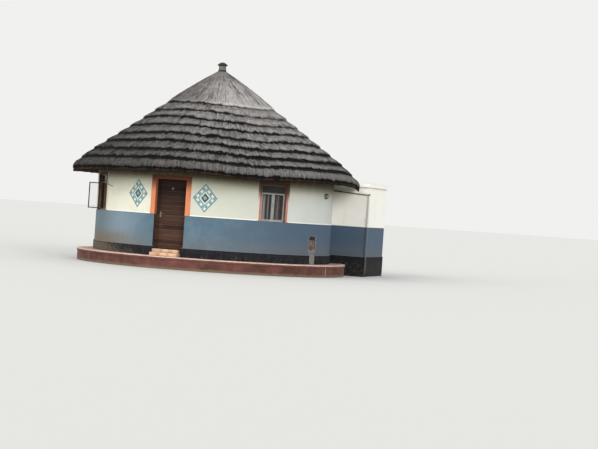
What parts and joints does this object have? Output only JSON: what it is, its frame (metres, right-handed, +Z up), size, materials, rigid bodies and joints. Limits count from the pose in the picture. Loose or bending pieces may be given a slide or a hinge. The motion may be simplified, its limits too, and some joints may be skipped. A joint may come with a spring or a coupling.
{
  "type": "thatched rondavel hut",
  "caption": "Round plastered hut with a stepped conical thatched roof, a raised apron, a plank door, steel casement windows and a small flat-roofed annex behind.",
  "frame": {"origin": "centre of the round room at the lowest ground level, on the underside of the base", "axes": "+Z up, the door faces -Y, +X to the right of someone who faces the door from outside"},
  "size_m": [8.7848, 8.7834, 6.2851],
  "materials": {
    "floor_cement": "trowelled cement",
    "apron_face": "weathered red-brown paint on render",
    "apron_top": "worn pink cement slab",
    "step_tile": "matt peach tiles",
    "plinth_black": "matt black paint on render",
    "wall_blue": "blue-grey paint on plaster",
    "wall_cream": "cream paint on plaster",
    "band_orange": "orange paint on raised plaster",
    "door_wood": "dark varnished boards",
    "hinge_steel": "dull steel",
    "handle_metal": "worn metal",
    "window_paint": "grey-white paint",
    "window_pane": "clear glass",
    "curtain_cloth": "brown gathered cloth",
    "rod_metal": "painted rod",
    "lamp_body": "dark ring with a pale glass",
    "roof_pole": "peeled poles, weathered",
    "thatch": "weathered grass thatch",
    "lid_dark": "dark matt cap",
    "pipe_grey": "painted pipe"
  },
  "bodies": {
    "building": {"floor_base": "floor_cement", "apron_base": "apron_face", "apron_slab": "apron_top", "door_step": "step_tile", "plinth": "plinth_black", "lower_wall_left": "wall_blue", "lower_wall_right": "wall_blue", "wall_front_left": "wall_cream", "wall_front_right": "wall_cream", "wall_left": "wall_cream", "wall_back": "wall_cream", "wall_right": "wall_cream", "ring_beam": "wall_cream", "door_surround": "band_orange", "window_surrounds": "band_orange", "door_frame": "door_wood", "door_hinges": "hinge_steel", "window_left": "window_paint", "window_right": "window_paint", "window_back": "window_paint", "window_annex": "window_paint", "window_glass": "window_pane", "curtain_left": "curtain_cloth", "curtain_right": "curtain_cloth", "curtain_rods": "rod_metal", "wall_lamp": "lamp_body", "wall_plate": "roof_pole", "rafters": "roof_pole", "roof_laths": "roof_pole", "roof_hub": "roof_pole", "thatch_course_1": "thatch", "thatch_course_2": "thatch", "thatch_course_3": "thatch", "thatch_course_4": "thatch", "thatch_course_5": "thatch", "thatch_course_6": "thatch", "thatch_course_7": "thatch", "thatch_course_8": "thatch", "thatch_cap": "thatch", "finial_neck": "thatch", "finial_lid": "lid_dark", "annex_base": "plinth_black", "annex_floor": "floor_cement", "annex_lower_walls": "wall_blue", "annex_upper_walls": "wall_cream", "annex_roof": "wall_cream", "annex_pipes": "pipe_grey"},
    "door": {"door_leaf": "door_wood", "hinge_leaves": "hinge_steel", "door_handle": "handle_metal"}
  },
  "joints": [
    {"name": "door_hinge", "type": "hinge", "parent": "building", "child": "door", "pos_m": [0.4165, -3.33176, 1.5], "axis": [0, 0, -1], "range_deg": [0, 100]}
  ]
}
